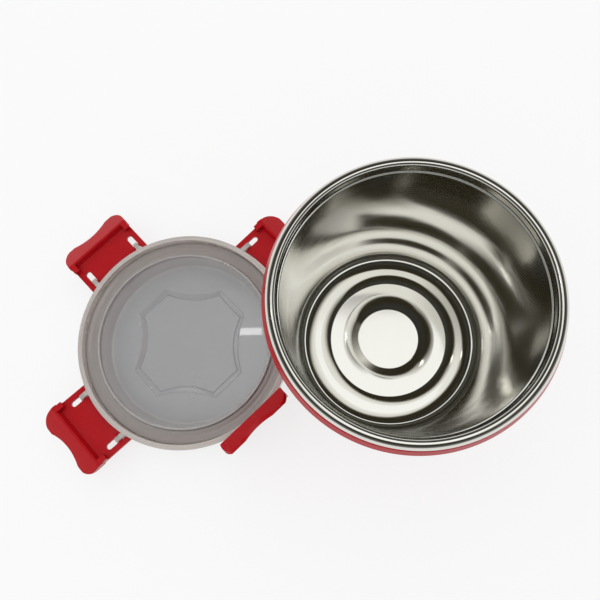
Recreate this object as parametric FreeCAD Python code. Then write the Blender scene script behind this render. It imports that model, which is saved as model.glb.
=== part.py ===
import FreeCAD, Part
import math
import os

# Round lunch pot in millimetres: a pressed steel bowl in a plastic outer shell, standing at the
# origin, and its snap-on lid, which lies upside down on the table beside it with its flaps open.

# Steel bowl
rim_radius = 64.0
pot_height = 130.0
sheet = 0.6
roll_inner_radius = 1.9
roll_outer_radius = 2.8
roll_crest_flat = 0.2
roll_lip_length = 1.4
ledge_step = 0.8
ledge_drop = 6.5
bowl_corner_radius = 3.5
disc_share = 0.341
first_foot_share = 0.470
first_edge_share = 0.656
second_foot_share = 0.7464
second_edge_share = 0.886
moat_share = 0.924
first_drop = 2.0
second_drop = 1.4
moat_drop = 0.9
disc_edge_radius = 3.6
press_edge_radius = 1.2
press_foot_radius = 14.0
last_edge_radius = 3.0
moat_foot_radius = 3.0

# Plastic outer shell
base_inset = 4.8
base_fillet = 4.2
shell_wall = 1.8
shell_floor = 2.0
bead_overhang = 2.2
bead_top_drop = 8.5
bead_undercut = 1.2
neck_inset = 0.2
shoulder_overhang = 0.4
collar_top_drop = 2.3
foot_groove_inset = 15.2
foot_groove_width = 3.0
foot_groove_depth = 0.8

# Soft seal between the bowl's neck and the shell's collar
seal_height = 2.0
seal_round = 0.4
seal_top_drop = 3.3

# Clearances inside the pot
wall_air_gap = 1.6
floor_air_gap = 0.9
collar_gap = 1.4
lip_gap = 0.3
seat_gap = 0.1
seal_gap = 0.05

# Lid, measured from the height of the steel rim's crest when it is seated
skirt_wall = 3.3
skirt_drop = 5.0
skirt_face_slope = 0.7
skirt_gap = 0.5
lock_gap = 0.3
channel_roof = 2.6
flange_thickness = 2.2
plug_wall = 1.6
plug_drop = 2.0
plug_gap = 2.2
panel_inset = 2.5
panel_underside = 12.5
panel_wall = 1.8
dome_foot = 0.5
dome_round = 3.0
edge_round = 1.2
skirt_round = 0.6
channel_round = 0.3
full_round_share = 0.47

# Stiffening step pressed into the lid's panel: eight sides, four of them drawn inwards
step_long_share = 0.6615
step_short_share = 0.3577
step_sag = 3.2
step_height = 0.7
step_slope = 2.4

# Silicone gasket in the lid's channel
gasket_thickness = 1.6
gasket_bead = 0.7
gasket_bead_share = 0.2
gasket_round = 0.25
gasket_side_gap = 0.3
gasket_roof_gap = 0.1

# Hinge of a flap: two eyes on the lid that snap over two bars on the flap
hinge_reach = 2.2
hinge_rise = 0.6
eye_radius = 2.6
eye_width = 3.0
eye_spacing = 35.4
bar_radius = 1.3
bar_clearance = 0.05
snap_mouth_share = 0.8
land_gap = 0.1
land_depth = 1.0

# Snap flap, measured from its hinge axis
flap_width = 46.5
flap_thickness = 2.0
lip_width = 47.6
flap_length = 29.0
lip_dip = 3.2
lobe_radius = 8.2
hook_foot = 15.2
hook_lean = 2.0
hook_height = 4.6
lip_flare = 2.8
lip_wall = 2.0
lip_round = 0.65
hook_round = 1.0
horn_length = 3.4
horn_width = 4.2
horn_drop = 0.4
slot_length = 8.7
slot_clearance = 0.35
flap_edge_gap = 0.8

# Rest pose on the table
lid_rest_gap = 0.9
lid_turn = -1.8
flap_azimuths = {"back_right": 45.0, "back_left": 135.0, "front_left": 225.0, "front_right": 315.0}
flap_angles = {"back_right": 2.0, "back_left": 6.0, "front_left": 8.0, "front_right": 87.5}

X_AXIS = FreeCAD.Vector(1, 0, 0)
Y_AXIS = FreeCAD.Vector(0, 1, 0)
Z_AXIS = FreeCAD.Vector(0, 0, 1)
ORIGIN = FreeCAD.Vector(0, 0, 0)

# Heights and radii that follow from the sizes above
mouth_radius = rim_radius - roll_inner_radius - roll_outer_radius - roll_crest_flat
base_radius = rim_radius - base_inset
bead_radius = rim_radius + bead_overhang
lid_radius = rim_radius + skirt_gap + skirt_wall
lip_end = pot_height - roll_outer_radius - roll_lip_length
bowl_foot_radius = base_radius - shell_wall - wall_air_gap - sheet
moat_height = shell_floor + floor_air_gap + sheet
disc_height = moat_height + moat_drop + second_drop + first_drop
collar_inner = mouth_radius + sheet + collar_gap
collar_outer = rim_radius - sheet - lip_gap
neck_radius = rim_radius - neck_inset
shoulder_height = lip_end - seat_gap
flange_top = channel_roof + flange_thickness
panel_top = panel_underside + panel_wall
lid_top = panel_top + step_height
skirt_inner = rim_radius + skirt_gap
plug_radius = mouth_radius - ledge_step - plug_gap
plug_inner = plug_radius - plug_wall
panel_radius = plug_inner - panel_inset
land_chord = plug_inner + panel_wall + land_gap
hinge_radius = lid_radius + hinge_reach
half_plate = flap_thickness / 2

# The bead's foot lies just above the hooks of the closed flaps
hook_share = (hinge_radius - half_plate - bead_radius) / hook_height
bead_foot_drop = hook_foot + hook_share * hook_lean - hinge_rise - lock_gap

# Places of the lid and of its hinges as it lies on the table, upside down
taper = (neck_radius - base_radius) / (pot_height - bead_foot_drop)
lid_distance = base_radius + taper * (lid_top + skirt_drop) + lid_rest_gap + lid_radius
lid_centre = FreeCAD.Vector(-lid_distance, 0, lid_top)
hinge_height = lid_top - hinge_rise
lip_slope = math.hypot(flap_length - hook_foot - hook_lean, half_plate + hook_height + lip_flare)
lip_back_u = lip_wall * (half_plate + hook_height + lip_flare) / lip_slope
lip_back_w = lip_wall * (flap_length - hook_foot - hook_lean) / lip_slope
lip_low_u = flap_length - lip_back_u
lip_low_w = lip_flare + lip_back_w


def rounded_face(corners):
    """Flat face through (x, y, radius) corners, each corner rounded with a tangent arc of its radius."""
    count = len(corners)
    ends = []
    arcs = []
    for i, (x, y, radius) in enumerate(corners):
        point = FreeCAD.Vector(x, y, 0)
        if radius <= 0:
            ends.append((point, point))
            arcs.append(None)
            continue
        before = FreeCAD.Vector(*corners[i - 1][:2], 0) - point
        after = FreeCAD.Vector(*corners[(i + 1) % count][:2], 0) - point
        half = before.getAngle(after) / 2
        before.normalize()
        after.normalize()
        run = radius / math.tan(half)
        inward = (before + after).normalize()
        start = point + before * run
        stop = point + after * run
        middle = point + inward * (radius / math.sin(half) - radius)
        ends.append((start, stop))
        arcs.append(Part.Arc(start, middle, stop).toShape())
    edges = []
    for i in range(count):
        if arcs[i] is not None:
            edges.append(arcs[i])
        start = ends[i][1]
        stop = ends[(i + 1) % count][0]
        if start.distanceToPoint(stop) > 1e-6:
            edges.append(Part.LineSegment(start, stop).toShape())
    return Part.Face(Part.Wire(edges))


def revolved(corners):
    """Solid of revolution about Z from (radius, height, corner radius) points."""
    face = rounded_face(corners)
    face.rotate(ORIGIN, X_AXIS, 90)
    return face.revolve(ORIGIN, Z_AXIS, 360)


def sheet_section(path, thickness):
    """Closed outline of a sheet that follows a path of (x, y, radius) corners on its right-hand side."""
    points = [FreeCAD.Vector(x, y, 0) for x, y, _ in path]
    offset = []
    for i, (x, y, radius) in enumerate(path):
        steps = []
        if i > 0:
            steps.append((points[i] - points[i - 1]).normalize())
        if i < len(points) - 1:
            steps.append((points[i + 1] - points[i]).normalize())
        sides = [FreeCAD.Vector(s.y, -s.x, 0) for s in steps]
        bisector = FreeCAD.Vector(0, 0, 0)
        for side in sides:
            bisector += side
        bisector.normalize()
        place = points[i] + bisector * (thickness / bisector.dot(sides[0]))
        turn = steps[0].cross(steps[-1]).z
        inner_radius = radius + math.copysign(thickness, turn) if radius else 0
        offset.append((place.x, place.y, inner_radius))
    return path + offset[::-1]


def steel_bowl():
    """Pressed bowl: terraced floor, tapering wall, small ledge, and a rim rolled over the collar."""
    first_height = disc_height - first_drop
    second_height = first_height - second_drop
    path = [
        (0, disc_height, 0),
        (bowl_foot_radius * disc_share, disc_height, disc_edge_radius),
        (bowl_foot_radius * first_foot_share, first_height, press_foot_radius),
        (bowl_foot_radius * first_edge_share, first_height, press_edge_radius),
        (bowl_foot_radius * second_foot_share, second_height, press_foot_radius),
        (bowl_foot_radius * second_edge_share, second_height, last_edge_radius),
        (bowl_foot_radius * moat_share, moat_height, moat_foot_radius),
        (bowl_foot_radius, moat_height, bowl_corner_radius),
        (mouth_radius - ledge_step, pot_height - ledge_drop, ledge_step),
        (mouth_radius, pot_height - ledge_drop + ledge_step, ledge_step),
        (mouth_radius, pot_height, roll_inner_radius),
        (rim_radius, pot_height, roll_outer_radius),
        (rim_radius, lip_end, 0),
    ]
    return revolved(sheet_section(path, sheet))


def outer_shell():
    """Moulded shell: flat base with a groove, tapering wall, lock bead, shoulder and inner collar."""
    groove_in = base_radius - foot_groove_inset - foot_groove_width / 2
    groove_out = base_radius - foot_groove_inset + foot_groove_width / 2
    return revolved([
        (0, 0, 0),
        (groove_in, 0, 0),
        (groove_in, foot_groove_depth, 0),
        (groove_out, foot_groove_depth, 0),
        (groove_out, 0, 0),
        (base_radius, 0, base_fillet),
        (neck_radius, pot_height - bead_foot_drop - bead_undercut, bead_undercut / 2),
        (bead_radius, pot_height - bead_foot_drop, bead_undercut / 2),
        (bead_radius, pot_height - bead_top_drop, shell_wall),
        (rim_radius + shoulder_overhang, shoulder_height, shoulder_overhang),
        (collar_outer, shoulder_height, 0),
        (collar_outer, pot_height - collar_top_drop, lip_gap),
        (collar_inner, pot_height - collar_top_drop, lip_gap),
        (collar_inner, pot_height - bead_foot_drop - bead_undercut, shell_wall),
        (base_radius - shell_wall, shell_floor, base_fillet - shell_wall),
        (0, shell_floor, 0),
    ])


def rim_seal():
    """Soft ring that keeps washing water out of the double wall."""
    inner = mouth_radius + sheet + seal_gap
    outer = collar_inner - seal_gap
    top = pot_height - seal_top_drop
    return revolved([
        (inner, top - seal_height, seal_round),
        (outer, top - seal_height, seal_round),
        (outer, top, seal_round),
        (inner, top, seal_round),
    ])


def lay_on_table(shape):
    """Turns a piece of the lid from its seated attitude to its upside-down place on the table."""
    shape.rotate(ORIGIN, Y_AXIS, 180)
    shape.rotate(ORIGIN, Z_AXIS, lid_turn)
    shape.translate(lid_centre)
    return shape


def panel_step(inset, height):
    """Flat outline of the panel's step: straight corners, and long sides drawn in by the sag."""
    long_reach = panel_radius * step_long_share - inset
    short_reach = panel_radius * step_short_share - inset * math.tan(math.radians(22.5))
    edges = []
    for quarter in range(4):
        turn = FreeCAD.Rotation(Z_AXIS, 90 * quarter)
        first = turn.multVec(FreeCAD.Vector(long_reach, -short_reach, height))
        middle = turn.multVec(FreeCAD.Vector(long_reach - step_sag, 0, height))
        last = turn.multVec(FreeCAD.Vector(long_reach, short_reach, height))
        corner = turn.multVec(FreeCAD.Vector(short_reach, long_reach, height))
        edges.append(Part.Arc(first, middle, last).toShape())
        edges.append(Part.LineSegment(last, corner).toShape())
    return Part.Wire(edges)


def stepped_plateau(low):
    """Solid between the wide outline of the step at a height and its narrower outline above it."""
    return Part.makeLoft([panel_step(0, low), panel_step(step_slope, low + step_height)], True, True)


def hinge_eye(side):
    """Eye of one hinge on the lid at azimuth zero, open at its top so that it snaps over a bar."""
    middle = side * eye_spacing / 2
    near = abs(middle) - eye_width / 2
    root = math.sqrt(skirt_inner ** 2 - near ** 2) + plug_wall / 2
    arm = Part.makeBox(hinge_radius - root, eye_width, 2 * eye_radius)
    arm.translate(FreeCAD.Vector(root, middle - eye_width / 2, hinge_rise - eye_radius))
    start = FreeCAD.Vector(hinge_radius, middle - eye_width / 2, hinge_rise)
    eye = arm.fuse(Part.makeCylinder(eye_radius, eye_width, start, Y_AXIS))
    eye = eye.cut(Part.makeCylinder(bar_radius + bar_clearance, eye_width, start, Y_AXIS))
    mouth = 2 * bar_radius * snap_mouth_share
    gap = Part.makeBox(mouth, eye_width, 2 * eye_radius)
    gap.translate(FreeCAD.Vector(hinge_radius - mouth / 2, middle - eye_width / 2, hinge_rise))
    return eye.cut(gap)


def lid_cover():
    """Translucent lid: raised dome with a stepped panel, flange, skirt, plug wall and hinge eyes."""
    cover = revolved([
        (0, panel_top, 0),
        (panel_radius + panel_wall, panel_top, dome_round),
        (plug_inner + panel_wall, flange_top, edge_round),
        (lid_radius, flange_top, edge_round),
        (lid_radius, -skirt_drop + skirt_face_slope, skirt_round),
        (skirt_inner, -skirt_drop, skirt_round),
        (skirt_inner, channel_roof, channel_round),
        (plug_radius, channel_roof, channel_round),
        (plug_radius, -plug_drop, plug_wall * full_round_share),
        (plug_inner, -plug_drop, plug_wall * full_round_share),
        (plug_inner, dome_foot, edge_round),
        (panel_radius, panel_underside, edge_round),
        (0, panel_underside, 0),
    ])
    cover = cover.fuse(stepped_plateau(panel_top)).cut(stepped_plateau(panel_underside))
    for azimuth in flap_azimuths.values():
        land = Part.makeBox(hinge_radius - land_chord, flap_width, flange_top)
        land.translate(FreeCAD.Vector(land_chord, -flap_width / 2, flange_top - land_depth))
        land.rotate(ORIGIN, Z_AXIS, azimuth)
        cover = cover.cut(land)
        for side in (-1, 1):
            eye = hinge_eye(side)
            eye.rotate(ORIGIN, Z_AXIS, azimuth)
            cover = cover.fuse(eye)
    return lay_on_table(cover.removeSplitter())


def lid_gasket():
    """Silicone ring in the lid's channel, with two raised beads that close on the steel rim."""
    inner = plug_radius + gasket_side_gap
    outer = skirt_inner - gasket_side_gap
    top = channel_roof - gasket_roof_gap
    face = top - gasket_thickness
    bead_width = (outer - inner) * gasket_bead_share
    return lay_on_table(revolved([
        (inner, top, 0),
        (inner, face - gasket_bead, gasket_round),
        (inner + bead_width, face - gasket_bead, gasket_round),
        (inner + 2 * bead_width, face, gasket_round),
        (outer - 2 * bead_width, face, gasket_round),
        (outer - bead_width, face - gasket_bead, gasket_round),
        (outer, face - gasket_bead, gasket_round),
        (outer, top, 0),
    ]))


def flap_outline(depth):
    """Slab of the flap's outline seen from above: a plate that ends in two round lobes and a dip."""
    half = flap_width / 2
    lip_half = lip_width / 2
    lobe_u = flap_length - lobe_radius
    lobe_v = lip_half - lobe_radius
    dip = lobe_radius - lip_dip
    dip_radius = (dip ** 2 + lobe_v ** 2 - lobe_radius ** 2) / (2 * lip_dip)
    dip_centre = FreeCAD.Vector(lobe_u + dip + dip_radius, 0, 0)
    inner_end = -hinge_radius / 2
    edges = []
    sides = {}
    for side in (-1, 1):
        lobe = FreeCAD.Vector(lobe_u, side * lobe_v, 0)
        towards_dip = (dip_centre - lobe).normalize()
        outwards = FreeCAD.Vector(0, side, 0)
        halfway = (towards_dip + outwards).normalize()
        touch = lobe + towards_dip * lobe_radius
        start = lobe + outwards * lobe_radius
        edges.append(Part.Arc(start, lobe + halfway * lobe_radius, touch).toShape())
        shoulder = FreeCAD.Vector(hook_foot, side * lip_half, 0)
        waist = FreeCAD.Vector(hook_foot - (lip_half - half), side * half, 0)
        root = FreeCAD.Vector(inner_end, side * half, 0)
        edges.append(Part.LineSegment(start, shoulder).toShape())
        edges.append(Part.LineSegment(shoulder, waist).toShape())
        edges.append(Part.LineSegment(waist, root).toShape())
        sides[side] = (touch, root)
    middle = FreeCAD.Vector(lobe_u + dip, 0, 0)
    edges.append(Part.Arc(sides[-1][0], middle, sides[1][0]).toShape())
    edges.append(Part.LineSegment(sides[-1][1], sides[1][1]).toShape())
    face = Part.Face(Part.Wire(Part.__sortEdges__(edges)))
    face.translate(FreeCAD.Vector(0, 0, -depth / 2))
    return face.extrude(FreeCAD.Vector(0, 0, depth))


def flap():
    """Snap flap lying flat, hinge axis on Y: plate, hook, flared finger lip, slots and bars."""
    inner_end = -hinge_radius / 2
    tip_u = hook_foot + hook_lean
    tip_w = half_plate + hook_height
    lip_run = (tip_w - lip_back_w + half_plate) / (half_plate + hook_height + lip_flare)
    blend_u = tip_u - lip_back_u + lip_run * (flap_length - tip_u)
    section = rounded_face([
        (inner_end, -half_plate, 0),
        (blend_u, -half_plate, lip_wall),
        (lip_low_u, -lip_low_w, lip_round),
        (flap_length, -lip_flare, lip_round),
        (tip_u, tip_w, hook_round),
        (hook_foot, half_plate, lip_round),
        (inner_end, half_plate, 0),
    ])
    section.rotate(ORIGIN, X_AXIS, 90)
    section.translate(FreeCAD.Vector(0, lip_width / 2, 0))
    body = section.extrude(FreeCAD.Vector(0, -lip_width, 0))
    for side in (-1, 1):
        horn = Part.makeBox(horn_length + hook_lean, horn_width, hook_height - horn_drop)
        start_v = side * lip_width / 2 - horn_width * (1 + side) / 2
        horn.translate(FreeCAD.Vector(hook_foot - horn_length, start_v, half_plate))
        body = body.fuse(horn)
    depth = 4 * (tip_w + lip_low_w)
    body = body.common(flap_outline(depth))
    lid_side = Part.makeCylinder(lid_radius + flap_edge_gap, depth)
    lid_side.translate(FreeCAD.Vector(-hinge_radius, 0, -depth / 2))
    body = body.cut(lid_side)
    slot_width = eye_width + 2 * slot_clearance
    for side in (-1, 1):
        middle = side * eye_spacing / 2
        slot = Part.makeBox(slot_length - slot_width / 2 - inner_end, slot_width, depth)
        slot.translate(FreeCAD.Vector(inner_end, middle - slot_width / 2, -depth / 2))
        round_end = FreeCAD.Vector(slot_length - slot_width / 2, middle, -depth / 2)
        slot = slot.fuse(Part.makeCylinder(slot_width / 2, depth, round_end))
        body = body.cut(slot)
    for side in (-1, 1):
        start = FreeCAD.Vector(0, side * eye_spacing / 2 - slot_width, 0)
        bar = Part.makeCylinder(bar_radius, 2 * slot_width, start, Y_AXIS)
        body = body.fuse(bar)
    return body.removeSplitter()


def placed_flap(name, azimuth):
    """Flap turned to its rest angle about its hinge and set at its azimuth round the lid."""
    piece = flap()
    piece.rotate(ORIGIN, Y_AXIS, -flap_angles[name])
    piece.translate(FreeCAD.Vector(hinge_radius, 0, 0))
    piece.rotate(ORIGIN, Z_AXIS, azimuth + lid_turn)
    piece.translate(FreeCAD.Vector(lid_centre.x, lid_centre.y, hinge_height))
    return piece


pieces = {
    "outer_shell": outer_shell(),
    "steel_bowl": steel_bowl(),
    "rim_seal": rim_seal(),
    "lid_cover": lid_cover(),
    "lid_gasket": lid_gasket(),
}
for flap_name, flap_azimuth in flap_azimuths.items():
    pieces["flap_" + flap_name] = placed_flap(flap_name, flap_azimuth)

os.makedirs("parts", exist_ok=True)
for node, shape in pieces.items():
    shape.exportStep("parts/" + node + ".step")
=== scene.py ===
import math
import bmesh
import bpy
from mathutils import Matrix, Vector


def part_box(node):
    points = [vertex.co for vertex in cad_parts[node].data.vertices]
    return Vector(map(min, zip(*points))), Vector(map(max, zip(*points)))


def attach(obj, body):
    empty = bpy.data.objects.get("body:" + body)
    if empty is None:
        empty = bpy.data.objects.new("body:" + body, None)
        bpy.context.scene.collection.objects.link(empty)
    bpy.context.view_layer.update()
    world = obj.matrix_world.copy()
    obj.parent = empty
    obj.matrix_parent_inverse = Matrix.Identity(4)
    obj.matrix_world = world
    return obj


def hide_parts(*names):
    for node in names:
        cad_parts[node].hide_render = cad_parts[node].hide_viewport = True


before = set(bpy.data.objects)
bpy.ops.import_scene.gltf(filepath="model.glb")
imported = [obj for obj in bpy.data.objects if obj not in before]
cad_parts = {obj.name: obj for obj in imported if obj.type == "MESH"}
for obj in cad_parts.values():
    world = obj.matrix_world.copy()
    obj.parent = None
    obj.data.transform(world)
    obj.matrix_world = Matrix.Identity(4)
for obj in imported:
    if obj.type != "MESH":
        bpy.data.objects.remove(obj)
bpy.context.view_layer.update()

# Steel bowl
# The food bowl is pressed from one sheet of stainless steel, with rings in its floor and a rim
# rolled outwards over the shell's collar. It was polished while it turned, so fine lines run round it.
mm = 0.001
bowl_low, bowl_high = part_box("steel_bowl")
rim_radius = bowl_high[0]
pot_height = bowl_high[2]
sheet = 0.6 * mm
roll_inner = 1.9 * mm
roll_outer = 2.8 * mm
roll_width = 4.9 * mm
roll_depth = 4.2 * mm
mouth_radius = rim_radius - roll_width
ledge_step = 0.8 * mm
ledge_drop = 6.5 * mm
bowl_floor = bowl_low[2] + sheet
moat_height = bowl_floor - 0.5 * mm
second_height = bowl_floor + 0.9 * mm
first_height = bowl_floor + 2.3 * mm
disc_height = bowl_floor + 4.3 * mm
disc_edge = 18.82 * mm
first_foot = 25.95 * mm
first_edge = 36.21 * mm
second_foot = 39.8 * mm
second_edge = 49.0 * mm
moat_foot = 52.6 * mm
wall_foot = 55.2 * mm
disc_round = 2.4 * mm
first_foot_round = 24 * mm
first_edge_round = 1.2 * mm
second_round = 16 * mm
wall_foot_round = 2.6 * mm
bowl_path = [
    (0, disc_height, 0),
    (disc_edge, disc_height, disc_round),
    (first_foot, first_height, first_foot_round),
    (first_edge, first_height, first_edge_round),
    (second_foot, second_height, second_round),
    (second_edge, second_height, second_round),
    (moat_foot, moat_height, 0),
    (wall_foot, moat_height, wall_foot_round),
    (mouth_radius - ledge_step, pot_height - ledge_drop, ledge_step),
    (mouth_radius, pot_height - ledge_drop + ledge_step, ledge_step),
    (mouth_radius, pot_height, roll_inner),
    (rim_radius, pot_height, roll_outer),
    (rim_radius, pot_height - roll_depth, 0),
]


def rounded_chain(bm, path, closed, arc_steps):
    """Wire through (radius, height, corner radius) points, with each corner bevelled to an arc."""
    verts = [bm.verts.new((r, 0, z)) for r, z, _ in path]
    pairs = list(zip(verts, verts[1:]))
    if closed:
        pairs.append((verts[-1], verts[0]))
    for a, b in pairs:
        bm.edges.new((a, b))
    for vert, (_, _, corner) in zip(verts, path):
        if corner == 0:
            continue
        before, after = [e.other_vert(vert).co - vert.co for e in vert.link_edges]
        run = corner / math.tan(before.angle(after) / 2)
        bmesh.ops.bevel(
            bm, geom=[vert], offset=run, offset_type="OFFSET", segments=arc_steps, profile=0.5,
            affect="VERTICES", clamp_overlap=False, material=-1,
        )


def spun_piece(name, path, closed=False, arc_steps=6, turn_steps=192):
    """Turned piece: the rounded chain spun once round the Z axis and closed at its seam and poles."""
    bm = bmesh.new()
    rounded_chain(bm, path, closed, arc_steps)
    bmesh.ops.spin(
        bm, geom=bm.verts[:] + bm.edges[:], cent=(0, 0, 0), axis=(0, 0, 1), angle=2 * math.pi,
        steps=turn_steps, use_merge=True,
    )
    bmesh.ops.remove_doubles(bm, verts=bm.verts, dist=0.01 * mm)
    bmesh.ops.recalc_face_normals(bm, faces=bm.faces)
    for face in bm.faces:
        face.smooth = True
    mesh = bpy.data.meshes.new(name)
    bm.to_mesh(mesh)
    bm.free()
    piece = bpy.data.objects.new(name, mesh)
    bpy.context.scene.collection.objects.link(piece)
    return piece


def weigh_normals(piece):
    """Lets large faces keep their own direction, so that only the rounds shade as rounds."""
    weigh = piece.modifiers.new("weigh_normals", "WEIGHTED_NORMAL")
    weigh.keep_sharp = True
    weigh.weight = 100


def new_material(name):
    """New node material and its Principled shader."""
    material = bpy.data.materials.new(name)
    material.use_nodes = True
    return material, material.node_tree.nodes["Principled BSDF"]


def map_range(nodes, links, value, low, high, to_low, to_high):
    """Node that maps a value from one span to another."""
    node = nodes.new("ShaderNodeMapRange")
    node.inputs["From Min"].default_value = low
    node.inputs["From Max"].default_value = high
    node.inputs["To Min"].default_value = to_low
    node.inputs["To Max"].default_value = to_high
    links.new(value, node.inputs["Value"])
    return node.outputs["Result"]


def polished_steel():
    """Bright steel with faint lines that run round the axis, a shade rougher where they are dense."""
    lines_per_metre = 1500
    drift_per_metre = 14
    material, shader = new_material("polished_steel")
    nodes = material.node_tree.nodes
    links = material.node_tree.links
    shader.inputs["Base Color"].default_value = (0.72, 0.712, 0.665, 1)
    shader.inputs["Metallic"].default_value = 1
    shader.inputs["Anisotropic"].default_value = 0.35
    place = nodes.new("ShaderNodeTexCoord")
    split = nodes.new("ShaderNodeSeparateXYZ")
    links.new(place.outputs["Object"], split.inputs["Vector"])
    flat = nodes.new("ShaderNodeCombineXYZ")
    links.new(split.outputs["X"], flat.inputs["X"])
    links.new(split.outputs["Y"], flat.inputs["Y"])
    radius = nodes.new("ShaderNodeVectorMath")
    radius.operation = "LENGTH"
    links.new(flat.outputs["Vector"], radius.inputs[0])
    climb = nodes.new("ShaderNodeMath")
    climb.operation = "ADD"
    links.new(radius.outputs["Value"], climb.inputs[0])
    links.new(split.outputs["Z"], climb.inputs[1])
    along = nodes.new("ShaderNodeCombineXYZ")
    links.new(split.outputs["X"], along.inputs["X"])
    links.new(split.outputs["Y"], along.inputs["Y"])
    links.new(climb.outputs["Value"], along.inputs["Z"])
    stretch = nodes.new("ShaderNodeVectorMath")
    stretch.operation = "MULTIPLY"
    stretch.inputs[1].default_value = (drift_per_metre, drift_per_metre, lines_per_metre)
    links.new(along.outputs["Vector"], stretch.inputs[0])
    lines = nodes.new("ShaderNodeTexNoise")
    lines.inputs["Scale"].default_value = 1
    lines.inputs["Detail"].default_value = 3
    links.new(stretch.outputs["Vector"], lines.inputs["Vector"])
    rough = map_range(
        nodes, links, lines.outputs["Fac"], low=0.3, high=0.7, to_low=0.06, to_high=0.12,
    )
    links.new(rough, shader.inputs["Roughness"])
    wave = nodes.new("ShaderNodeTexNoise")
    wave.inputs["Scale"].default_value = 45
    wave.inputs["Detail"].default_value = 1
    links.new(place.outputs["Object"], wave.inputs["Vector"])
    wave_bump = nodes.new("ShaderNodeBump")
    wave_bump.inputs["Strength"].default_value = 0.1
    wave_bump.inputs["Distance"].default_value = 0.6 * mm
    links.new(wave.outputs["Fac"], wave_bump.inputs["Height"])
    line_bump = nodes.new("ShaderNodeBump")
    line_bump.inputs["Strength"].default_value = 0.06
    line_bump.inputs["Distance"].default_value = 0.02 * mm
    links.new(lines.outputs["Fac"], line_bump.inputs["Height"])
    links.new(wave_bump.outputs["Normal"], line_bump.inputs["Normal"])
    links.new(line_bump.outputs["Normal"], shader.inputs["Normal"])
    tangent = nodes.new("ShaderNodeTangent")
    tangent.direction_type = "RADIAL"
    tangent.axis = "Z"
    links.new(tangent.outputs["Tangent"], shader.inputs["Tangent"])
    return material


bowl = spun_piece("steel_bowl_spun", bowl_path, arc_steps=12)
bowl_sheet = bowl.modifiers.new("sheet", "SOLIDIFY")
bowl_sheet.thickness = sheet
bowl_sheet.offset = -1
bowl_sheet.use_even_offset = True
weigh_normals(bowl)
bowl.data.materials.append(polished_steel())
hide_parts("steel_bowl")
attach(bowl, "pot")

# Outer shell
# The outside of the pot is one moulding of glossy red plastic. Its collar goes up inside the rolled
# rim, and the bead below the rim is what the flaps hook under.
shell_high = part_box("outer_shell")[1]
base_radius = 59.2 * mm
base_round = 4.2 * mm
shell_wall = 1.8 * mm
shell_floor = 2.0 * mm
floor_round = 2.4 * mm
foot_groove_inner = 42.5 * mm
foot_groove_outer = 45.5 * mm
foot_groove_depth = 0.8 * mm
foot_groove_round = 0.2 * mm
neck_radius = rim_radius - 0.2 * mm
bead_radius = shell_high[0]
bead_foot = pot_height - 15.52 * mm
bead_top = pot_height - 8.5 * mm
bead_root = bead_foot - 1.2 * mm
bead_round = 0.6 * mm
bead_top_round = 1.8 * mm
shoulder = pot_height - 4.3 * mm
shoulder_radius = rim_radius + 0.4 * mm
shoulder_round = 0.4 * mm
collar_inner = mouth_radius + 2.0 * mm
collar_outer = rim_radius - 0.9 * mm
collar_top = shell_high[2]
collar_foot_round = 0.1 * mm
collar_round = 0.3 * mm
shell_path = [
    (0, 0, 0),
    (foot_groove_inner, 0, foot_groove_round),
    (foot_groove_inner, foot_groove_depth, foot_groove_round),
    (foot_groove_outer, foot_groove_depth, foot_groove_round),
    (foot_groove_outer, 0, foot_groove_round),
    (base_radius, 0, base_round),
    (neck_radius, bead_root, bead_round),
    (bead_radius, bead_foot, bead_round),
    (bead_radius, bead_top, bead_top_round),
    (shoulder_radius, shoulder, shoulder_round),
    (collar_outer, shoulder, collar_foot_round),
    (collar_outer, collar_top, collar_round),
    (collar_inner, collar_top, collar_round),
    (collar_inner, bead_root, shell_wall),
    (base_radius - shell_wall, shell_floor, floor_round),
    (0, shell_floor, 0),
]


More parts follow.
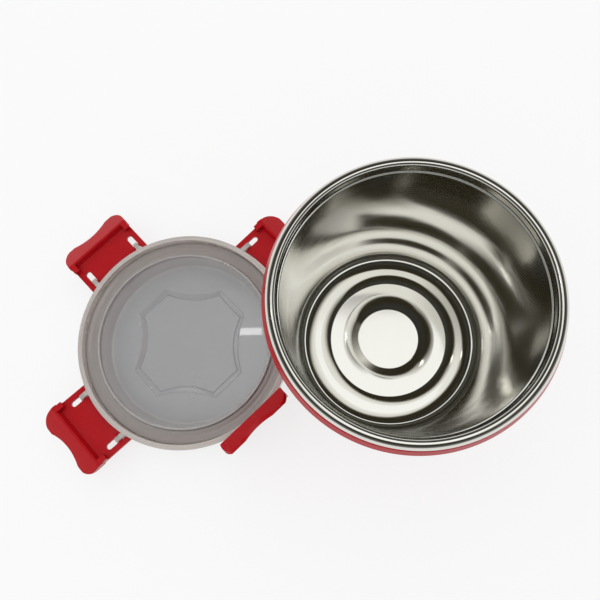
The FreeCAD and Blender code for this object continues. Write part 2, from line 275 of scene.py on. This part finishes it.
def moulded_skin():
    """Node group for moulded plastic: a faint cloudy tone, uneven gloss and the mould's fine grain."""
    group = bpy.data.node_groups.new("moulded_skin", "ShaderNodeTree")
    group.interface.new_socket("Tone Low", in_out="INPUT", socket_type="NodeSocketColor")
    group.interface.new_socket("Tone High", in_out="INPUT", socket_type="NodeSocketColor")
    group.interface.new_socket("Rough Low", in_out="INPUT", socket_type="NodeSocketFloat")
    group.interface.new_socket("Rough High", in_out="INPUT", socket_type="NodeSocketFloat")
    group.interface.new_socket("Color", in_out="OUTPUT", socket_type="NodeSocketColor")
    group.interface.new_socket("Roughness", in_out="OUTPUT", socket_type="NodeSocketFloat")
    group.interface.new_socket("Height", in_out="OUTPUT", socket_type="NodeSocketFloat")
    nodes = group.nodes
    links = group.links
    source = nodes.new("NodeGroupInput")
    result = nodes.new("NodeGroupOutput")
    place = nodes.new("ShaderNodeTexCoord")
    cloud = nodes.new("ShaderNodeTexNoise")
    cloud.inputs["Scale"].default_value = 38
    cloud.inputs["Detail"].default_value = 4
    links.new(place.outputs["Object"], cloud.inputs["Vector"])
    grain = nodes.new("ShaderNodeTexNoise")
    grain.inputs["Scale"].default_value = 900
    grain.inputs["Detail"].default_value = 2
    links.new(place.outputs["Object"], grain.inputs["Vector"])
    tone = nodes.new("ShaderNodeMix")
    tone.data_type = "RGBA"
    links.new(cloud.outputs["Fac"], tone.inputs["Factor"])
    links.new(source.outputs["Tone Low"], tone.inputs["A"])
    links.new(source.outputs["Tone High"], tone.inputs["B"])
    links.new(tone.outputs["Result"], result.inputs["Color"])
    gloss = nodes.new("ShaderNodeMapRange")
    gloss.inputs["From Min"].default_value = 0.3
    gloss.inputs["From Max"].default_value = 0.7
    links.new(cloud.outputs["Fac"], gloss.inputs["Value"])
    links.new(source.outputs["Rough Low"], gloss.inputs["To Min"])
    links.new(source.outputs["Rough High"], gloss.inputs["To Max"])
    links.new(gloss.outputs["Result"], result.inputs["Roughness"])
    links.new(grain.outputs["Fac"], result.inputs["Height"])
    return group


moulded_group = moulded_skin()


def use_moulded_skin(material, shader, tone_low, tone_high, rough_low, rough_high, grain_depth):
    """Places the moulded skin in a material with its own tones, gloss and depth of grain."""
    nodes = material.node_tree.nodes
    links = material.node_tree.links
    skin = nodes.new("ShaderNodeGroup")
    skin.node_tree = moulded_group
    skin.inputs["Tone Low"].default_value = tone_low
    skin.inputs["Tone High"].default_value = tone_high
    skin.inputs["Rough Low"].default_value = rough_low
    skin.inputs["Rough High"].default_value = rough_high
    bump = nodes.new("ShaderNodeBump")
    bump.inputs["Strength"].default_value = 0.15
    bump.inputs["Distance"].default_value = grain_depth
    links.new(skin.outputs["Color"], shader.inputs["Base Color"])
    links.new(skin.outputs["Roughness"], shader.inputs["Roughness"])
    links.new(skin.outputs["Height"], bump.inputs["Height"])
    links.new(bump.outputs["Normal"], shader.inputs["Normal"])


def red_plastic(name, rough_low, rough_high):
    """Glossy red moulding, deep in colour, with soft pinkish highlights."""
    red_low = (0.41, 0.003, 0.007, 1)
    red_high = (0.47, 0.005, 0.010, 1)
    material, shader = new_material(name)
    use_moulded_skin(material, shader, red_low, red_high, rough_low, rough_high, grain_depth=0.03 * mm)
    shader.inputs["IOR"].default_value = 1.42
    shader.inputs["Specular IOR Level"].default_value = 0.25
    shader.inputs["Coat Weight"].default_value = 0.1
    shader.inputs["Coat Roughness"].default_value = 0.05
    return material


shell = spun_piece("outer_shell_spun", shell_path)
weigh_normals(shell)
shell.data.materials.append(red_plastic("shell_red", rough_low=0.24, rough_high=0.34))
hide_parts("outer_shell")
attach(shell, "pot")

# Rim seal
# A pale soft ring, pressed in between the bowl's neck and the shell's collar, keeps washing water
# out of the double wall. It is moulded from soft rubber and hidden under the rolled rim.


def soft_rubber():
    """Matt pale rubber."""
    material, shader = new_material("seal_rubber")
    use_moulded_skin(
        material, shader, tone_low=(0.56, 0.55, 0.53, 1), tone_high=(0.62, 0.61, 0.59, 1),
        rough_low=0.55, rough_high=0.7, grain_depth=0.05 * mm,
    )
    return material


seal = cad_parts["rim_seal"]
seal.data.materials.clear()
seal.data.materials.append(soft_rubber())

# Lid
# The lid is one moulding of frosted translucent plastic: a raised dome with a stepped panel, a flange
# with a channel for the gasket, a skirt round the rim and eight eyes that snap over the flaps' bars.
# A fine groove and a lip run along the panel's step.
gasket_low, gasket_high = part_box("lid_gasket")
lid_middle = ((gasket_low[0] + gasket_high[0]) / 2, (gasket_low[1] + gasket_high[1]) / 2)
lid_top = 15.0 * mm
lid_turn = math.radians(-1.8)
lid_place = (
    Matrix.Translation((lid_middle[0], lid_middle[1], lid_top))
    @ Matrix.Rotation(lid_turn, 4, "Z")
    @ Matrix.Rotation(math.pi, 4, "Y")
)
lid_radius = rim_radius + 3.8 * mm
skirt_inner = rim_radius + 0.5 * mm
skirt_drop = 5.0 * mm
skirt_slope = 0.7 * mm
skirt_round = 0.6 * mm
flange_top = 4.8 * mm
channel_roof = 2.6 * mm
channel_round = 0.3 * mm
plug_radius = mouth_radius - 3.0 * mm
plug_inner = plug_radius - 1.6 * mm
plug_drop = 2.0 * mm
plug_round = 0.75 * mm
panel_radius = plug_inner - 2.5 * mm
panel_wall = 1.8 * mm
panel_under = 12.0 * mm
panel_over = panel_under + panel_wall
dome_foot = 0.5 * mm
dome_round = 3.0 * mm
edge_round = 1.2 * mm
step_rise = 1.2 * mm
step_slope = 1.8 * mm
groove_depth = 0.6 * mm
groove_width = 1.2 * mm
lip_height = 0.4 * mm
lip_width = 1.1 * mm
step_mean = 33.0 * mm
lip_mean = step_mean + lip_width / 2
lip_outer_mean = step_mean + lip_width
step_inner_mean = step_mean - step_slope
groove_mean = step_inner_mean - groove_width / 2
groove_inner_mean = step_inner_mean - groove_width
back_step_mean = step_mean - 0.8 * mm
back_inner_mean = back_step_mean - step_slope
lid_path = [
    (0, panel_over + step_rise, 0),
    (back_inner_mean, panel_over + step_rise, 0),
    (back_step_mean, panel_over, 0),
    (panel_radius + panel_wall, panel_over, dome_round),
    (plug_inner + panel_wall, flange_top, edge_round),
    (lid_radius, flange_top, edge_round),
    (lid_radius, skirt_slope - skirt_drop, skirt_round),
    (skirt_inner, -skirt_drop, skirt_round),
    (skirt_inner, channel_roof, channel_round),
    (plug_radius, channel_roof, channel_round),
    (plug_radius, -plug_drop, plug_round),
    (plug_inner, -plug_drop, plug_round),
    (plug_inner, dome_foot, edge_round),
    (panel_radius, panel_under, edge_round),
    (lip_outer_mean, panel_under, 0),
    (lip_mean, panel_under - lip_height, 0),
    (step_mean, panel_under, 0),
    (step_inner_mean, panel_under + step_rise, 0),
    (groove_mean, panel_under + step_rise + groove_depth, 0),
    (groove_inner_mean, panel_under + step_rise, 0),
    (0, panel_under + step_rise, 0),
]


def step_radius(angle):
    """Distance from the panel's middle to its step: four sides drawn inwards, four straight corners."""
    long_reach = panel_radius * 0.6615
    short_reach = panel_radius * 0.3577
    sag = 3.2 * mm
    turn = (angle + math.pi / 4) % (math.pi / 2) - math.pi / 4
    if abs(turn) > math.atan2(short_reach, long_reach):
        return (long_reach + short_reach) / (math.cos(turn) + abs(math.sin(turn)))
    bend = (short_reach ** 2 + sag ** 2) / (2 * sag)
    centre = long_reach - sag + bend
    return centre * math.cos(turn) - math.sqrt(bend ** 2 - (centre * math.sin(turn)) ** 2)


step_means = (
    lip_outer_mean, lip_mean, step_mean, step_inner_mean, groove_mean, groove_inner_mean,
    back_step_mean, back_inner_mean,
)
loop_reach = 0.05 * mm


def draw_step(mesh):
    """Moves the round loops of the panel's step, on both faces, to the step's own outline."""
    for vert in mesh.vertices:
        radius = math.hypot(vert.co.x, vert.co.y)
        for mean in step_means:
            if abs(radius - mean) < loop_reach and vert.co.z > panel_under - 2 * lip_height:
                angle = math.atan2(vert.co.y, vert.co.x)
                share = (step_radius(angle) + mean - step_mean) / radius
                vert.co.x *= share
                vert.co.y *= share
                break


hinge_radius = lid_radius + 2.2 * mm
hinge_rise = 0.6 * mm
hinge_azimuths = (45, 135, 225, 315)
eye_radius = 2.6 * mm
eye_bore = 1.35 * mm
eye_width = 3.0 * mm
eye_spacing = 35.4 * mm
eye_mouth = 2.08 * mm
bore_margin = 0.2 * mm
mouth_margin = 0.3 * mm
arm_root = 0.8 * mm
arm_side_relief = 0.02 * mm
arm_face_relief = 0.03 * mm
land_gap = 0.1 * mm
land_inner = plug_inner + panel_wall + land_gap
land_width = 46.5 * mm
land_depth = 1.0 * mm


def add_block(bm, low, high):
    """Box between two corners."""
    size = Vector(high) - Vector(low)
    verts = bmesh.ops.create_cube(bm, size=1)["verts"]
    bmesh.ops.scale(bm, verts=verts, vec=size)
    bmesh.ops.translate(bm, verts=verts, vec=(Vector(low) + Vector(high)) / 2)


def add_bar(bm, radius, length, place):
    """Cylinder along Y about a place."""
    laid = Matrix.Translation(place) @ Matrix.Rotation(math.pi / 2, 4, "X")
    bmesh.ops.create_cone(
        bm, cap_ends=True, segments=40, radius1=radius, radius2=radius, depth=length, matrix=laid,
    )


def four_times(name, fill):
    """Object with what fill(bm) adds, repeated on the lid's four hinge sides."""
    bm = bmesh.new()
    for azimuth in hinge_azimuths:
        before = set(bm.verts)
        fill(bm)
        fresh = [v for v in bm.verts if v not in before]
        turn = Matrix.Rotation(math.radians(azimuth), 3, "Z")
        bmesh.ops.rotate(bm, verts=fresh, cent=(0, 0, 0), matrix=turn)
    bmesh.ops.recalc_face_normals(bm, faces=bm.faces)
    mesh = bpy.data.meshes.new(name)
    bm.to_mesh(mesh)
    bm.free()
    piece = bpy.data.objects.new(name, mesh)
    bpy.context.scene.collection.objects.link(piece)
    return piece


def fill_lands(bm):
    """Flat land in the flange's outer face beside each flap."""
    low = (land_inner, -land_width / 2, flange_top - land_depth)
    add_block(bm, low, (hinge_radius, land_width / 2, flange_top + land_depth))


def fill_arms(bm):
    """Two arms rooted in the skirt."""
    half_width = eye_width / 2 - arm_side_relief
    half_height = eye_radius - arm_face_relief
    for side in (-1, 1):
        middle = side * eye_spacing / 2
        root = math.sqrt(skirt_inner ** 2 - (abs(middle) - eye_width / 2) ** 2) + arm_root
        low = (root, middle - half_width, hinge_rise - half_height)
        high = (hinge_radius, middle + half_width, hinge_rise + half_height)
        add_block(bm, low, high)


def fill_rounds(bm):
    """Round end of each arm, a hair wider than the arm."""
    for side in (-1, 1):
        add_bar(bm, eye_radius, eye_width, (hinge_radius, side * eye_spacing / 2, hinge_rise))


def fill_bores(bm):
    """Bore of each eye, where the flap's bar turns."""
    length = eye_width + 2 * bore_margin
    for side in (-1, 1):
        add_bar(bm, eye_bore, length, (hinge_radius, side * eye_spacing / 2, hinge_rise))


def fill_mouths(bm):
    """Mouth of each eye, which lets the bar snap in."""
    half_width = eye_width / 2 + mouth_margin
    for side in (-1, 1):
        middle = side * eye_spacing / 2
        low = (hinge_radius - eye_mouth / 2, middle - half_width, hinge_rise)
        high = (hinge_radius + eye_mouth / 2, middle + half_width, hinge_rise + 2 * eye_radius)
        add_block(bm, low, high)


def finish_lid(piece):
    """Cuts the lands, joins the eyes, cuts their bores and mouths and lays the lid on the table."""
    steps = [
        ("DIFFERENCE", fill_lands), ("UNION", fill_arms), ("UNION", fill_rounds),
        ("DIFFERENCE", fill_bores), ("DIFFERENCE", fill_mouths),
    ]
    helpers = []
    for operation, fill in steps:
        helper = four_times(fill.__name__, fill)
        change = piece.modifiers.new(fill.__name__, "BOOLEAN")
        change.operation = operation
        change.solver = "EXACT"
        change.object = helper
        helpers.append(helper)
    bpy.context.view_layer.update()
    view = bpy.context.evaluated_depsgraph_get()
    shaped = bpy.data.meshes.new_from_object(piece.evaluated_get(view))
    piece.modifiers.clear()
    piece.data = shaped
    shaped.transform(lid_place)
    for helper in helpers:
        bpy.data.meshes.remove(helper.data)


# Painted light: between these distances from the lid's middle the colour turns lighter and warmer,
# standing in for light that the frosted walls carry through.
glow_paint_start = 51 * mm
glow_paint_end = 60 * mm


def frosted_plastic(name, tone_low, tone_high, painted_glow_tone, rough_low, rough_high, clear):
    """Milky plastic that lets blurred light through, painted lighter and warmer towards the lid's edge:
    painted light that stands in for the glow its frosted walls carry through.
    """
    material, shader = new_material(name)
    nodes = material.node_tree.nodes
    links = material.node_tree.links
    use_moulded_skin(
        material, shader, tone_low, tone_high, rough_low, rough_high, grain_depth=0.001 * mm,
    )
    skin_color = shader.inputs["Base Color"].links[0].from_socket
    place = nodes.new("ShaderNodeTexCoord")
    from_middle = nodes.new("ShaderNodeVectorMath")
    from_middle.operation = "DISTANCE"
    from_middle.inputs[1].default_value = (lid_middle[0], lid_middle[1], lid_top)
    links.new(place.outputs["Object"], from_middle.inputs[0])
    share = map_range(nodes, links, from_middle.outputs["Value"], glow_paint_start, glow_paint_end, 0, 1)
    # Painted light: mixes the skin colour towards the lighter, warmer glow tone near the edge.
    glow_paint = nodes.new("ShaderNodeMix")
    glow_paint.data_type = "RGBA"
    glow_paint.inputs["B"].default_value = painted_glow_tone
    links.new(share, glow_paint.inputs["Factor"])
    links.new(skin_color, glow_paint.inputs["A"])
    links.new(glow_paint.outputs["Result"], shader.inputs["Base Color"])
    shader.inputs["IOR"].default_value = 1.45
    shader.inputs["Transmission Weight"].default_value = clear
    shader.inputs["Coat Weight"].default_value = 1
    shader.inputs["Coat Roughness"].default_value = 0.025
    return material


def sharpen(mesh, smooth_angle):
    """Smooth shading over the rounds, with a sharp crease along every edge that turns further."""
    bm = bmesh.new()
    bm.from_mesh(mesh)
    for face in bm.faces:
        face.smooth = True
    for edge in bm.edges:
        edge.smooth = edge.calc_face_angle(0) < smooth_angle
    bm.to_mesh(mesh)
    bm.free()


lid = spun_piece("lid_cover_moulded", lid_path, arc_steps=8, turn_steps=240)
draw_step(lid.data)
finish_lid(lid)
sharpen(lid.data, smooth_angle=math.radians(14))
weigh_normals(lid)
lid.data.materials.clear()
# The lighter edge tone given here is painted light for the glow in the frosted wall.
lid.data.materials.append(frosted_plastic(
    "lid_frosted", tone_low=(0.53, 0.545, 0.555, 1), tone_high=(0.57, 0.585, 0.595, 1),
    painted_glow_tone=(0.75, 0.70, 0.66, 1), rough_low=0.22, rough_high=0.28, clear=0.45,
))
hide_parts("lid_cover")
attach(lid, "lid")

# Gasket
# The gasket is a ring moulded from clear silicone, which lies loose in the lid's channel. Two beads on
# its face close on the rim.
gasket_gap = 0.3 * mm
gasket_inner = plug_radius + gasket_gap
gasket_outer = skirt_inner - gasket_gap
bead_width = (gasket_outer - gasket_inner) * 0.2
gasket_back = 2.5 * mm
gasket_face = 0.9 * mm
gasket_bead = 0.2 * mm
gasket_round = 0.25 * mm
gasket_back_round = 0.1 * mm
gasket_path = [
    (gasket_inner, gasket_back, gasket_back_round),
    (gasket_inner, gasket_bead, gasket_round),
    (gasket_inner + bead_width, gasket_bead, gasket_round),
    (gasket_inner + 2 * bead_width, gasket_face, gasket_round),
    (gasket_outer - 2 * bead_width, gasket_face, gasket_round),
    (gasket_outer - bead_width, gasket_bead, gasket_round),
    (gasket_outer, gasket_bead, gasket_round),
    (gasket_outer, gasket_back, gasket_back_round),
]
gasket = spun_piece("lid_gasket_moulded", gasket_path, closed=True, arc_steps=3, turn_steps=240)
gasket.data.transform(lid_place)
weigh_normals(gasket)
# The gasket's lighter edge tone is painted light too.
gasket.data.materials.append(frosted_plastic(
    "gasket_clear", tone_low=(0.51, 0.47, 0.44, 1), tone_high=(0.55, 0.51, 0.48, 1),
    painted_glow_tone=(0.57, 0.53, 0.50, 1), rough_low=0.35, rough_high=0.45, clear=0.4,
))
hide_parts("lid_gasket")
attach(gasket, "lid")

# Flaps
# Four red snap flaps are moulded in one piece each: a plate with two slots, a bar across each slot
# that the lid's eyes grip, a slanted hook and a flared finger lip with two lobes.
flap_round = 0.35 * mm
merge_reach = 0.002 * mm
flat_angle = math.radians(0.6)
crease_angle = math.radians(30)
rounded_angle = math.radians(35)


def softened_copy(node, name):
    """Copy of a solid's mesh with its flat faces joined and its edges rounded, as a mould leaves them."""
    bm = bmesh.new()
    bm.from_mesh(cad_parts[node].data)
    bmesh.ops.remove_doubles(bm, verts=bm.verts, dist=merge_reach)
    bmesh.ops.dissolve_limit(bm, angle_limit=flat_angle, verts=bm.verts, edges=bm.edges)
    mesh = bpy.data.meshes.new(name)
    bm.to_mesh(mesh)
    bm.free()
    if "custom_normal" in mesh.attributes:
        mesh.attributes.remove(mesh.attributes["custom_normal"])
    sharpen(mesh, crease_angle)
    piece = bpy.data.objects.new(name, mesh)
    bpy.context.scene.collection.objects.link(piece)
    rounds = piece.modifiers.new("rounds", "BEVEL")
    rounds.width = flap_round
    rounds.segments = 2
    rounds.limit_method = "ANGLE"
    rounds.angle_limit = rounded_angle
    weigh_normals(piece)
    return piece


flap_red = red_plastic("flap_red", rough_low=0.22, rough_high=0.32)
for corner_name in ("back_right", "back_left", "front_left", "front_right"):
    flap_node = "flap_" + corner_name
    flap = softened_copy(flap_node, flap_node + "_moulded")
    flap.data.materials.append(flap_red)
    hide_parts(flap_node)
    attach(flap, flap_node)

# Table and light
# The object stands on a plain white table, which keeps its shadow. Over it hangs a softbox that is
# brightest in its middle, made of panels one above the other, and beside it a small bright window.
table_reach = 6
table_gap = 0.1 * mm
table_whiteness = 0.75
table_mesh = bpy.data.meshes.new("table")
table_shape = bmesh.new()
bmesh.ops.create_grid(table_shape, x_segments=1, y_segments=1, size=table_reach)
bmesh.ops.translate(table_shape, verts=table_shape.verts, vec=(0, 0, -table_gap))
table_shape.to_mesh(table_mesh)
table_shape.free()
table = bpy.data.objects.new("table", table_mesh)
bpy.context.scene.collection.objects.link(table)
table_white, table_shader = new_material("table_white")
table_nodes = table_white.node_tree.nodes
table_links = table_white.node_tree.links
table_shader.inputs["Base Color"].default_value = (0.86, 0.86, 0.86, 1)
table_shader.inputs["Roughness"].default_value = 0.7
table_glow = table_nodes.new("ShaderNodeEmission")
table_path = table_nodes.new("ShaderNodeLightPath")
table_seen = table_nodes.new("ShaderNodeMath")
table_seen.operation = "MAXIMUM"
table_links.new(table_path.outputs["Is Camera Ray"], table_seen.inputs[0])
table_links.new(table_path.outputs["Is Glossy Ray"], table_seen.inputs[1])
table_through = table_nodes.new("ShaderNodeMath")
table_through.operation = "MAXIMUM"
table_links.new(table_seen.outputs["Value"], table_through.inputs[0])
table_links.new(table_path.outputs["Is Transmission Ray"], table_through.inputs[1])
table_share = table_nodes.new("ShaderNodeMath")
table_share.operation = "MULTIPLY"
table_share.inputs[1].default_value = table_whiteness
table_links.new(table_through.outputs["Value"], table_share.inputs[0])
table_mix = table_nodes.new("ShaderNodeMixShader")
table_links.new(table_share.outputs["Value"], table_mix.inputs["Fac"])
table_links.new(table_shader.outputs["BSDF"], table_mix.inputs[1])
table_links.new(table_glow.outputs["Emission"], table_mix.inputs[2])
table_links.new(table_mix.outputs["Shader"], table_nodes["Material Output"].inputs["Surface"])
table_mesh.materials.append(table_white)

white_below = 0.20
dark_above = 0.86
dark_tone = (0.042, 0.036, 0.022, 1)
sky_tones = ((0.32, 0.30), (0.55, 0.14), (0.72, 0.06))
sky_warmth = 0.96
fill_direction = (-0.25, 0.30, 0.92)
world = bpy.data.worlds.new("studio")
bpy.context.scene.world = world
world.use_nodes = True
world_nodes = world.node_tree.nodes
world_links = world.node_tree.links
sky_place = world_nodes.new("ShaderNodeTexCoord")
sky_split = world_nodes.new("ShaderNodeSeparateXYZ")
world_links.new(sky_place.outputs["Generated"], sky_split.inputs["Vector"])
sky_ramp = world_nodes.new("ShaderNodeValToRGB")
sky_ramp.color_ramp.elements[0].position = white_below
sky_ramp.color_ramp.elements[0].color = (1, 1, 1, 1)
sky_ramp.color_ramp.elements[1].position = dark_above
sky_ramp.color_ramp.elements[1].color = dark_tone
for height, tone in sky_tones:
    sky_ramp.color_ramp.elements.new(height).color = (tone, tone, tone * sky_warmth, 1)
world_links.new(sky_split.outputs["Z"], sky_ramp.inputs["Fac"])
fill_side = world_nodes.new("ShaderNodeVectorMath")
fill_side.operation = "DOT_PRODUCT"
fill_side.inputs[1].default_value = fill_direction
world_links.new(sky_place.outputs["Generated"], fill_side.inputs[0])
fill_level = map_range(
    world_nodes, world_links, fill_side.outputs["Value"], low=-0.4, high=1, to_low=0.27, to_high=1.17,
)
sky_path = world_nodes.new("ShaderNodeLightPath")
sky_mix = world_nodes.new("ShaderNodeMix")
sky_mix.data_type = "RGBA"
world_links.new(sky_path.outputs["Is Diffuse Ray"], sky_mix.inputs["Factor"])
world_links.new(sky_ramp.outputs["Color"], sky_mix.inputs["A"])
world_links.new(fill_level, sky_mix.inputs["B"])
world_links.new(sky_mix.outputs["Result"], world_nodes["Background"].inputs["Color"])


def softbox(name, place, width, depth, glow):
    """Lamp panel that faces straight down, as bright as glow says, where 1 is white."""
    lamp = bpy.data.lights.new(name, "AREA")
    lamp.shape = "RECTANGLE"
    lamp.size = width
    lamp.size_y = depth
    lamp.energy = glow * math.pi * width * depth
    holder = bpy.data.objects.new(name, lamp)
    holder.location = place
    bpy.context.scene.collection.objects.link(holder)


lamp_count = 9
lamp_glow = 0.14
lamp_place = Vector((0.10, -0.01, 1.2))
lamp_lift = Vector((0, 0, 0.01))
lamp_width = 0.40
lamp_width_step = 0.08
lamp_depth = 0.50
lamp_depth_step = 0.03
for step in range(lamp_count):
    width = lamp_width + step * lamp_width_step
    depth = lamp_depth + step * lamp_depth_step
    softbox("panel_" + str(step + 1), lamp_place + step * lamp_lift, width, depth, lamp_glow)
softbox("window", place=(-0.275, 0.207, 1.19), width=0.075, depth=0.02, glow=9)

# Camera
# The view is from above the front left of the pot's rim. It looks down and a little towards the back,
# turned as in the photograph.
frame_pixels = 600
focal_pixels = 560
camera_place = (-0.03445, -0.05394, 0.3621)
camera_data = bpy.data.cameras.new("camera")
camera_data.sensor_width = 36
camera_data.lens = camera_data.sensor_width * focal_pixels / frame_pixels
camera = bpy.data.objects.new("camera", camera_data)
view_right = Vector((0.99808, -0.00553, -0.0615)).normalized()
view_forward = Vector((-0.05886, 0.21978, -0.9738)).normalized()
view_up = view_right.cross(view_forward)
camera_turn = Matrix((view_right, view_up, -view_forward)).transposed().to_4x4()
camera.matrix_world = Matrix.Translation(camera_place) @ camera_turn
bpy.context.scene.collection.objects.link(camera)
bpy.context.scene.camera = camera
bpy.context.scene.view_settings.view_transform = "Standard"
